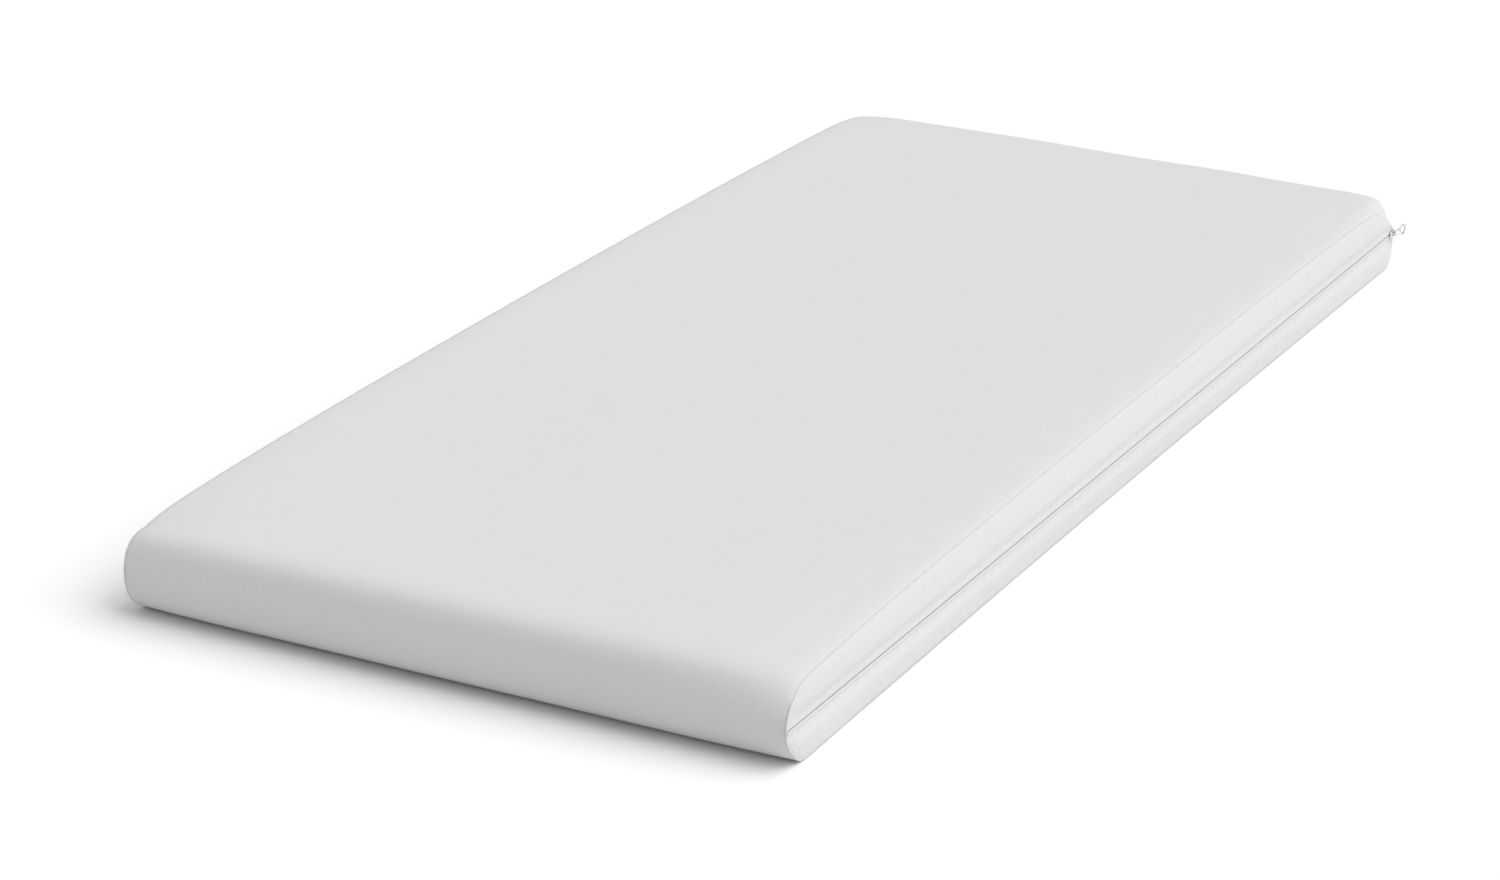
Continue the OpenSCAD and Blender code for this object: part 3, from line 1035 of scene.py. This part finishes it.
def mirrored(half):
    """A whole outline from the corners of its upper half, each with its radius in mm."""
    whole = half + [(u, -v, radius) for u, v, radius in half[::-1]]
    return [(u, v) for u, v, _ in whole], [radius * MM for _, _, radius in whole]


print("a corner is rounded in", CORNER_STEPS, "points")

# %% [markdown]
# The slider's places come from the model: its front plate lies just outside the
# lips, the post passes between them, and the back plate and two cheeks hold the
# spirals. The eye on the front plate carries the pin of the pull.

# %% Cast the slider
hinge = next(joint for joint in frame["joints"] if joint["name"] == "pull_hinge")
PIVOT = Vector(hinge["pos_m"])
slide_low, slide_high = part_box("zip_slider")
COIL_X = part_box("zip_coil_upper")[1].x     # the spirals' outer side
SLIDE_Y = (slide_low.y + slide_high.y) / 2
PLATE = 1.4 * MM
EYE_R = slide_high.x - PIVOT.x            # the eye is the outermost part of the slider
PIN_R = 0.6 * MM
PLATE_TOP = PIVOT.x - 1.0 * MM            # outer face of the front plate
CHEEK = 1.3 * MM                          # thickness of a cheek
SUNK = 0.6 * MM                           # how deep a cheek sits in the back plate
CHEEK_Z = slide_high.z - ZIP_Z - CHEEK / 2


def slider_block(half_y, z, half_z):
    """Four corners of a rectangle in the middle of the slider's length."""
    return [(SLIDE_Y - half_y, z - half_z), (SLIDE_Y + half_y, z - half_z),
            (SLIDE_Y + half_y, z + half_z), (SLIDE_Y - half_y, z + half_z)]


def cast_slider():
    """Front plate, back plate, two cheeks and the post."""
    half = (slide_high.y - SLIDE_Y) / MM
    corners, radii = mirrored([(half, 3.1, 2.2), (4.2, 4.7, 2.5), (-5.2, 4.0, 5), (-half, 2.7, 1.8)])
    front = rounded([(SLIDE_Y + u * MM, ZIP_Z + v * MM) for u, v in corners], radii)
    back = rounded(slider_block(6.5 * MM, ZIP_Z, slide_high.z - ZIP_Z), 1.2 * MM)
    back_face = slide_low.x + PLATE
    parts = [plate([front], PLATE, 0.45 * MM, PLATE_TOP - PLATE / 2),
             plate([back], PLATE, 0.3 * MM, back_face - PLATE / 2)]
    depth = COIL_X - 0.3 * MM - back_face + SUNK
    for sign in (-1, 1):
        cheek = rounded(slider_block(5.5 * MM, ZIP_Z + sign * CHEEK_Z, CHEEK / 2), 0.4 * MM, 4)
        parts.append(plate([cheek], depth, 0.25 * MM, back_face - SUNK + depth / 2))
    post = [(SLIDE_Y + u, ZIP_Z + v) for u, v in stadium(0, 6 * MM, 0.5 * MM)]
    depth = PLATE_TOP - slide_low.x - PLATE
    parts.append(plate([post], depth, 0.1 * MM, slide_low.x + PLATE / 2 + depth / 2))
    return parts


def cast_eye():
    """The lug that carries the pin. Its outline is drawn in the XY plane and it is thick in Z."""
    foot = PLATE_TOP - 0.5 * MM
    outline = [(PIVOT.y + EYE_R, foot), (PIVOT.y + EYE_R, PIVOT.x)]
    outline += [(PIVOT.y + EYE_R * math.cos(a), PIVOT.x + EYE_R * math.sin(a))
                for a in np.linspace(0.15, math.pi - 0.15, 20)]
    outline += [(PIVOT.y - EYE_R, PIVOT.x), (PIVOT.y - EYE_R, foot)]
    hole = circle((PIVOT.y, PIVOT.x), PIN_R + 0.05 * MM, 20)
    points, faces = plate([outline, hole], 2.2 * MM, 0.2 * MM, ZIP_Z)
    return np.stack([points[:, 2], points[:, 1], points[:, 0]], -1), [f[::-1] for f in faces]


points, faces = together([*cast_slider(), cast_eye()])
mesh = make_mesh("slider_casting", points, faces, closed=True)
slider = make_piece("slider_casting", mesh, "slider", "zip_metal", "zip_slider")
print("slider", [round(v / MM, 1) for v in slider.dimensions], "mm")

# %% [markdown]
# The pull's tongue is split at its root, so that its two arms reach round the
# eye, and the pin passes through them. It is drawn flat from the pin outwards
# and then tilted away from the panel by the angle that it rests at.

# %% Cast the pull
PULL_T = 1.4 * MM         # thickness
PULL_TILT = math.radians(8)
pull_low, pull_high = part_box("zip_pull")
RING_W = pull_high.z - pull_low.z
PULL_L = 28.5 * MM        # from the pin to the ring's far end
HOLE_L, HOLE_W = 11 * MM, 7.9 * MM
RING_Y = PULL_L - (RING_W - HOLE_W) / 2 - HOLE_L / 2
ARM = 2.7 * MM            # half width of the tongue at its root
GAP = 1.3 * MM            # half width of the gap between the two arms
SPLIT = 2.5 * MM          # how far the gap reaches past the pin
ROOT = 0.55 * MM          # how far the arms reach behind the pin


def cast_pull():
    """Tongue, ring and pin, in the rest position."""
    ring_l = HOLE_L + RING_W - HOLE_W
    root_of_ring = RING_Y - ring_l / 2
    ring = [(RING_Y + u, v) for u, v in stadium(0, ring_l, RING_W, 18)]
    ring = [p for p in ring if p[0] > root_of_ring + 3.4 * MM]
    ring.sort(key=lambda p: math.atan2(p[1], p[0] - RING_Y))
    neck = (root_of_ring + 0.6 * MM, ring[-1][1] * 0.62, 2.2)
    tongue, radii = mirrored([neck, (4.6 * MM, ARM, 3), (-ROOT, ARM, 0.5), (-ROOT, GAP, 0.3),
                              (SPLIT, GAP, 0.6)])
    sharp = [0.0001 * MM] * len(ring)
    outline = ring + rounded(ring + tongue, sharp + radii)[len(ring) * CORNER_STEPS:]
    hole = [(RING_Y + u, v) for u, v in stadium(0, HOLE_L, HOLE_W, 18)]
    points, faces = plate([outline, hole], PULL_T, 0.32 * MM, 0)
    rings = np.array([[0, 0, -1.6], [0, 0, -1.2], [0, 0, 1.2], [0, 0, 1.6]]) * MM
    half = PIN_R * np.ones(4)
    dir_a = np.broadcast_to([1.0, 0.0, 0.0], (4, 3))
    dir_b = np.broadcast_to([0.0, 1.0, 0.0], (4, 3))
    points, faces = together([(points, faces), tube(rings, (half, half, dir_a, dir_b), around=16)])
    turn = np.array(Matrix.Rotation(-PULL_TILT, 3, "Z"))
    return points @ turn.T + np.array([PIVOT.x, PIVOT.y, ZIP_Z]), faces


points, faces = cast_pull()
mesh = make_mesh("pull_casting", points, faces, closed=True)
pull = make_piece("pull_casting", mesh, "pull", "zip_metal", "zip_pull")
print("pull", [round(v / MM, 1) for v in pull.dimensions], "mm")

# %% [markdown]
# Curves give flat shading where a plate's face meets its rounded edge. Marking
# the faces smooth and splitting only the sharp angles keeps both right.

# %% Smooth the metal
for part in (slider, pull):
    weld = part.modifiers.new("weld", "WELD")
    weld.merge_threshold = 0.002 * MM
    part.data.shade_smooth()
    part.data.set_sharp_from_angle(angle=math.radians(38))
print("metal parts smoothed")

# %% [markdown]
# ## Finishes
# Every finish is made of shader nodes, with no pictures. These helpers add a
# node and fill its inputs, so that a finish reads like a recipe.

# %% Helpers for finishes
def finish_of(name):
    """A new material with its tree and its main shader."""
    material = bpy.data.materials.new(name)
    material.use_nodes = True
    tree = material.node_tree
    tree.nodes.clear()
    shader = tree.nodes.new("ShaderNodeBsdfPrincipled")
    output = tree.nodes.new("ShaderNodeOutputMaterial")
    tree.links.new(shader.outputs[0], output.inputs[0])
    return material, tree, shader


def fill(tree, node, inputs):
    """Fills inputs of a node. Each takes a value or another node's output."""
    for key, value in inputs.items():
        if isinstance(value, bpy.types.NodeSocket):
            tree.links.new(value, node.inputs[key])
        else:
            node.inputs[key].default_value = value


def add(tree, kind, inputs, out=0, **settings):
    """Adds a node, fills its inputs and returns one of its outputs."""
    node = tree.nodes.new("ShaderNode" + kind)
    for name, value in settings.items():
        setattr(node, name, value)
    fill(tree, node, inputs)
    return node.outputs[out]


def maths(tree, a, b, operation="MULTIPLY"):
    """Multiplies two values, or does another operation on them."""
    return add(tree, "Math", {0: a, 1: b}, operation=operation)


def sine(tree, value, turns):
    """A wave along a value, in radians for each metre."""
    return maths(tree, maths(tree, value, turns), 0, "SINE")


def place_on_cloth(tree):
    """The place on the flat cloth, and its two parts across and along."""
    cloth = add(tree, "UVMap", {}, uv_map="cloth")
    across, along = (add(tree, "SeparateXYZ", {0: cloth}, part) for part in (0, 1))
    return cloth, across, along


def place_in_piece(tree):
    """The place inside the piece, for finishes that have no cloth."""
    return add(tree, "TexCoord", {}, out=3)


def varied(tree, value, low, high):
    """Turns a pattern that runs from 0 to 1 into one from low to high."""
    return add(tree, "MapRange", {"Value": value, "To Min": low, "To Max": high})


def tinted(tree, colour, value):
    """A colour that gets lighter and darker with a value."""
    return add(tree, "VectorMath", {0: colour[:3], "Scale": value}, operation="SCALE")


def shade(value, tint=(1, 1, 1)):
    """A grey with a tint, as a colour."""
    return (value * tint[0], value * tint[1], value * tint[2], 1)


print("helpers for finishes ready")

# %% [markdown]
# The cover is a plain weave of matt polyester yarn. Two sets of waves at right
# angles are the threads, and their product is a thread going over and under.
# Thicker places in the yarn, called slubs, show as faint streaks both ways. A
# knitted cover would need loops instead.

# %% Weave the cover
def woven(name, colour, pitch, depth, streak, sheen=0.25):
    """A woven finish. Pitch is the distance between threads and depth is how far they stand out."""
    material, tree, shader = finish_of(name)
    cloth, across, along = place_on_cloth(tree)
    turns = 2 * math.pi / pitch
    warp, weft = sine(tree, across, turns), sine(tree, along, turns)
    half_warp, half_weft = sine(tree, across, turns / 2), sine(tree, along, turns / 2)
    crossing = maths(tree, half_warp, half_weft)
    threads = maths(tree, maths(tree, warp, warp), maths(tree, weft, weft), "MAXIMUM")
    relief = maths(tree, maths(tree, threads, 0.6), maths(tree, crossing, 0.4), "ADD")
    streaks = []
    for stretch in ((1 / (1.6 * pitch), 14, 1), (14, 1 / (1.6 * pitch), 1)):
        stretched = add(tree, "Mapping", {"Vector": cloth, "Scale": stretch})
        streaks.append(add(tree, "TexNoise", {"Vector": stretched, "Scale": 1.0, "Detail": 3.0}))
    mottle = add(tree, "TexNoise", {"Vector": cloth, "Scale": 160.0, "Detail": 6.0, "Roughness": 0.7})
    slubs = maths(tree, maths(tree, *streaks, "ADD"), mottle, "ADD")
    tone = add(tree, "MapRange", {"Value": slubs, "From Min": 1.0, "From Max": 2.0,
                                  "To Min": 1 - streak, "To Max": 1 + streak})
    # The colour is also darker where the threads lie low, by up to 4 per cent: painted shade in the
    # gaps of the weave.
    weave_gap_shade = add(tree, "MapRange", {"Value": relief, "From Min": -0.4, "From Max": 1.0,
                                   "To Min": 0.97, "To Max": 1.01})
    paint = tinted(tree, colour, maths(tree, tone, weave_gap_shade))
    lumps = maths(tree, relief, maths(tree, slubs, 0.35), "ADD")
    bump = add(tree, "Bump", {"Height": lumps, "Distance": depth, "Strength": 0.8})
    rough = varied(tree, mottle, 0.85, 0.95)
    fill(tree, shader, {"Base Color": paint, "Roughness": rough, "Normal": bump,
                        "Sheen Weight": sheen, "Sheen Roughness": 0.5, "Specular IOR Level": 0.2})
    return material


cover_finish = woven("woven cover", shade(0.606, (0.988, 1.0, 0.996)), 0.8 * MM, 0.05 * MM, 0.025)
tape_finish = woven("zip tape", shade(0.66), 0.7 * MM, 0.08 * MM, 0.03, sheen=0.15)
for piece in (cover_wrap, panel_left, panel_upper, panel_lower, *ridges):
    piece.data.materials.append(cover_finish)
for piece in tapes:
    piece.data.materials.append(tape_finish)
print("woven finishes on", 6 + len(tapes), "pieces")

# %% [markdown]
# Sewing thread is twisted, so fine slanting ridges run along it. The same finish
# serves for the stitches and for the thread bars.

# %% Twist the thread
thread_finish, tree, shader = finish_of("sewing thread")
place = place_in_piece(tree)
twist = add(tree, "TexWave", {"Vector": place, "Scale": 900.0, "Distortion": 0.4}, 1,
            bands_direction="DIAGONAL")
bump = add(tree, "Bump", {"Height": twist, "Distance": 0.05 * MM, "Strength": 0.6})
rough = varied(tree, twist, 0.6, 0.75)
fill(tree, shader, {"Base Color": shade(0.74), "Roughness": rough, "Normal": bump, "Sheen Weight": 0.2})
for piece in (zip_stitches, *tacks):
    piece.data.materials.append(thread_finish)
print(thread_finish.name, "ready")

# %% [markdown]
# Both foams are made of tiny open cells. Memory foam has finer cells and a warm
# cream tint, and the base foam is coarser and whiter. Rounded dents from a
# Voronoi pattern stand for the cells.

# %% Foam the foams
def foam(name, colour, cell, depth):
    """A matt finish with rounded cells."""
    material, tree, shader = finish_of(name)
    place = place_in_piece(tree)
    cells = add(tree, "TexVoronoi", {"Vector": place, "Scale": 1 / cell}, feature="SMOOTH_F1")
    patchy = add(tree, "TexNoise", {"Vector": place, "Scale": 25.0, "Detail": 4.0})
    # The cells make the colour darker in their dents, which is painted shade; the patchy noise is the
    # foam's own uneven tone.
    value = maths(tree, varied(tree, cells, 0.9, 1.04), varied(tree, patchy, 0.95, 1.03))
    paint = tinted(tree, colour, value)
    bump = add(tree, "Bump", {"Height": cells, "Distance": depth, "Strength": 0.7})
    rough = varied(tree, patchy, 0.88, 0.98)
    fill(tree, shader, {"Base Color": paint, "Roughness": rough, "Normal": bump,
                        "Subsurface Weight": 0.08, "Subsurface Scale": 0.004})
    return material


comfort.data.materials.append(foam("memory foam", shade(0.66, (1.0, 0.95, 0.8)), 0.8 * MM, 0.2 * MM))
base.data.materials.append(foam("base foam", shade(0.72, (1.0, 0.99, 0.95)), 1.4 * MM, 0.35 * MM))
print("foam finishes ready")

# %% [markdown]
# The liner is a thin jersey knit. A knit shows as columns of small V shapes,
# which come from a wave that leans one way and then the other.

# %% Knit the liner
liner_finish, tree, shader = finish_of("liner knit")
_, across, along = place_on_cloth(tree)
KNIT = 1.3 * MM           # width of a column of stitches
lean = maths(tree, across, KNIT, "PINGPONG")
loops = maths(tree, sine(tree, maths(tree, along, lean, "ADD"), 2 * math.pi / (0.9 * KNIT)), 0.5)
ribs = maths(tree, sine(tree, across, math.pi / KNIT), 0.5)
knit = maths(tree, loops, maths(tree, ribs, ribs), "ADD")
# The colour is darker where the knit lies low: painted shade between the loops.
value = add(tree, "MapRange", {"Value": knit, "From Min": -0.5, "From Max": 0.75,
                               "To Min": 0.9, "To Max": 1.04})
paint = tinted(tree, shade(0.76), value)
bump = add(tree, "Bump", {"Height": knit, "Distance": 0.15 * MM, "Strength": 0.7})
fill(tree, shader, {"Base Color": paint, "Roughness": 0.92, "Normal": bump, "Sheen Weight": 0.3})
liner.data.materials.append(liner_finish)
print(liner_finish.name, "ready")

# %% [markdown]
# Nylon is smooth, slightly see-through and softly glossy. The zinc of the slider
# is satin metal with fine tumbling marks, which is cheaper to make than polished
# metal and hides scratches.

# %% Nylon and metal
nylon, tree, shader = finish_of("nylon coil")
place = place_in_piece(tree)
grain = add(tree, "TexNoise", {"Vector": place, "Scale": 700.0, "Detail": 3.0})
bump = add(tree, "Bump", {"Height": grain, "Distance": 0.02 * MM, "Strength": 0.4})
rough = varied(tree, grain, 0.3, 0.45)
fill(tree, shader, {"Base Color": shade(0.72), "Roughness": rough, "Normal": bump,
                    "Subsurface Weight": 0.15, "Subsurface Scale": 0.001})
for piece in coils:
    piece.data.materials.append(nylon)

metal, tree, shader = finish_of("satin zinc")
place = place_in_piece(tree)
marks = add(tree, "TexNoise", {"Vector": place, "Scale": 1400.0, "Detail": 5.0, "Roughness": 0.7})
cast_marks = add(tree, "TexNoise", {"Vector": place, "Scale": 260.0, "Detail": 3.0})
height = maths(tree, marks, maths(tree, cast_marks, 2.0), "ADD")
bump = add(tree, "Bump", {"Height": height, "Distance": 0.02 * MM, "Strength": 0.5})
rough = varied(tree, cast_marks, 0.32, 0.46)
fill(tree, shader, {"Base Color": (0.66, 0.67, 0.68, 1), "Metallic": 0.95, "Roughness": rough,
                    "Normal": bump})
for piece in (slider, pull):
    piece.data.materials.append(metal)
print("nylon and metal ready")

# %% [markdown]
# ## The floor and the light
# A wide white floor and an even sky stand for a studio. One large soft light
# comes from the right and a little from behind, so the front end is in gentle
# shade and a soft shadow falls to the left.

# %% Lay the floor
REACH = 14.0              # half of the floor's width, wide enough to have no visible edge
BELOW = 0.3 * MM          # the floor lies this far under the cloth, so that they never mix
floor_mesh = bpy.data.meshes.new("floor")
floor_mesh.from_pydata([(-REACH, -REACH, 0), (REACH, -REACH, 0), (REACH, REACH, 0), (-REACH, REACH, 0)],
                       [], [(0, 1, 2, 3)])
floor = bpy.data.objects.new("floor", floor_mesh)
bpy.context.scene.collection.objects.link(floor)
floor.location.z = -BELOW
floor_finish, tree, shader = finish_of("studio floor")
place = place_in_piece(tree)
dust = add(tree, "TexNoise", {"Vector": place, "Scale": 3.0, "Detail": 4.0})
paint = tinted(tree, shade(0.865), varied(tree, dust, 0.985, 1.0))
fill(tree, shader, {"Base Color": paint, "Roughness": 0.9, "Specular IOR Level": 0.1})
floor_mesh.materials.append(floor_finish)
floor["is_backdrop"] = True
print("floor", 2 * REACH, "m wide")

# %% Light it
SKY = 0.57                # brightness of the even sky
SUN = 2.50                # brightness of the lamp
SOFTNESS = math.radians(64)    # a wide lamp gives a soft shadow
world = bpy.data.worlds.new("studio sky")
bpy.context.scene.world = world
world.use_nodes = True
background = world.node_tree.nodes["Background"]
background.inputs[0].default_value = (0.99, 1.0, 1.0, 1)
background.inputs[1].default_value = SKY

sun_data = bpy.data.lights.new("soft key", "SUN")
sun_data.energy = SUN
sun_data.angle = SOFTNESS
sun_data.color = (1.0, 0.995, 0.99)
sun = bpy.data.objects.new("soft key", sun_data)
bpy.context.scene.collection.objects.link(sun)
towards = Vector((0.55, 0.16, 0.80)).normalized()
sun.rotation_euler = towards.to_track_quat("Z", "Y").to_euler()
sun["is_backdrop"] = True
print("light from", [round(v, 2) for v in towards])

# %% [markdown]
# ## The camera
# A long lens looks from the front right and slightly above, which keeps the long
# sides almost parallel. The camera is turned by one degree about its own axis,
# so the near edge looks a little steeper.

# %% Aim the camera
AZIMUTH, ELEVATION, ROLL = (math.radians(a) for a in (26.83, 21.159, 1.068))
DISTANCE = 4.4698                     # metres from the middle of the mattress's base
ASIDE, ABOVE = -0.08593, -0.02016     # moves the camera in its own plane
LENS = 100.54                         # millimetres, on a sensor 36 mm wide

back = Vector((math.sin(AZIMUTH) * math.cos(ELEVATION), -math.cos(AZIMUTH) * math.cos(ELEVATION),
               math.sin(ELEVATION)))
level = back.cross(Vector((0, 0, 1))).normalized() * -1
upright = level.cross(-back)
right = level * math.cos(ROLL) + upright * math.sin(ROLL)
up = upright * math.cos(ROLL) - level * math.sin(ROLL)
camera_data = bpy.data.cameras.new("camera")
camera_data.lens = LENS
camera_data.sensor_width = 36
camera_data.clip_end = 60
camera = bpy.data.objects.new("camera", camera_data)
bpy.context.scene.collection.objects.link(camera)
place = right * ASIDE + up * ABOVE + back * DISTANCE
turn = Matrix((right, up, back)).transposed().to_4x4()
camera.matrix_world = Matrix.Translation(place) @ turn
bpy.context.scene.camera = camera
bpy.context.scene.view_settings.view_transform = "Standard"
bpy.context.scene.view_settings.look = "None"
print("camera at", [round(v, 3) for v in place])

# %% [markdown]
# ## Check the size
# The cloth and the foam can spread a little past the model, and never by much.
# Both boxes are kept, so that the difference can be read later.

# %% Keep both boxes
bpy.context.view_layer.update()
low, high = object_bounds()
print("final box", [round(v, 4) for v in (*low, *high)])
for axis, name in enumerate("XYZ"):
    past = cad_low[axis] - low[axis], high[axis] - cad_high[axis]
    print(name, "outside by", [round(v / MM, 1) for v in past], "mm")
